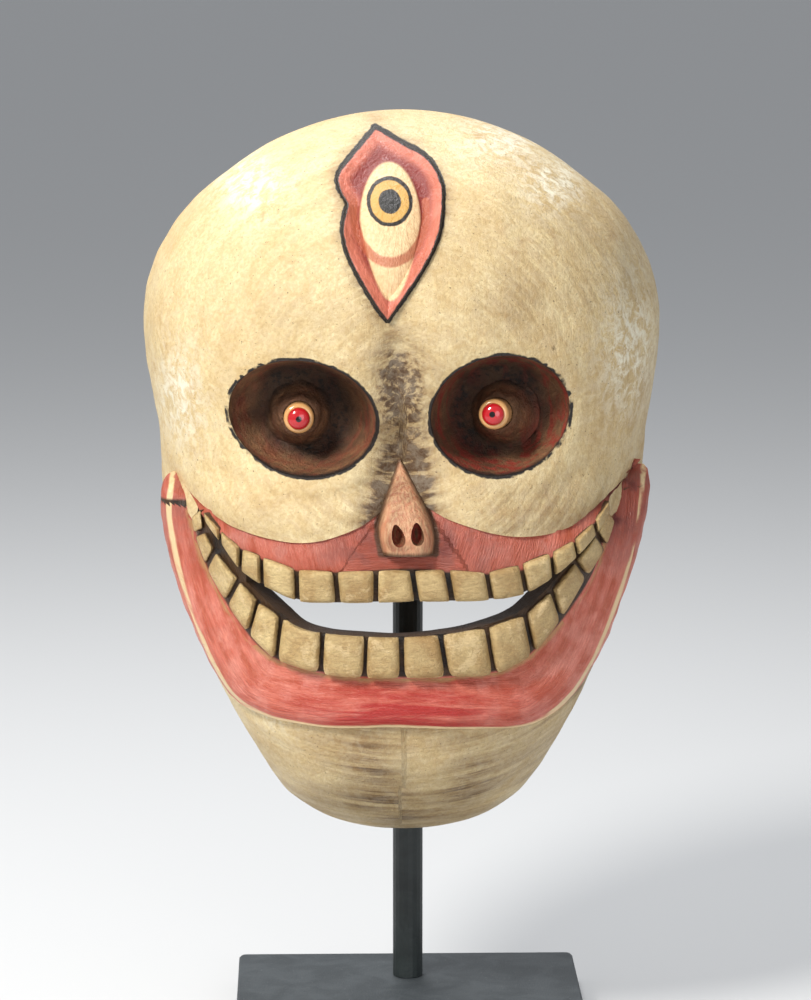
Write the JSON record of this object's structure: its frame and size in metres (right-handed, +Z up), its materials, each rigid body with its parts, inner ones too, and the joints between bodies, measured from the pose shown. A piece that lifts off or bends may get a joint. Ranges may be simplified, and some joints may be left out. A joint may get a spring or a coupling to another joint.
{
  "type": "tibetan cham mask",
  "caption": "Papier-mache skull dance mask with eye sockets, pegged pupils, a third eye and a grinning toothed mouth, held upright on a rod stand.",
  "frame": {"origin": "middle of the foot plate's underside, on the surface it stands on", "axes": "+Z up along the rod, -Y the way the mask's face looks, +X towards the right-hand side of someone who looks at the face"},
  "size_m": [0.224, 0.1627, 0.402],
  "materials": {
    "painted_papier_mache": "matte",
    "lacquered_peg": "gloss",
    "black_steel": "satin",
    "slate_steel": "matte"
  },
  "bodies": {
    "root": {"mask": "painted_papier_mache", "eye_peg_left": "lacquered_peg", "eye_peg_right": "lacquered_peg", "stand_post": "black_steel", "stand_base": "slate_steel"}
  },
  "joints": []
}
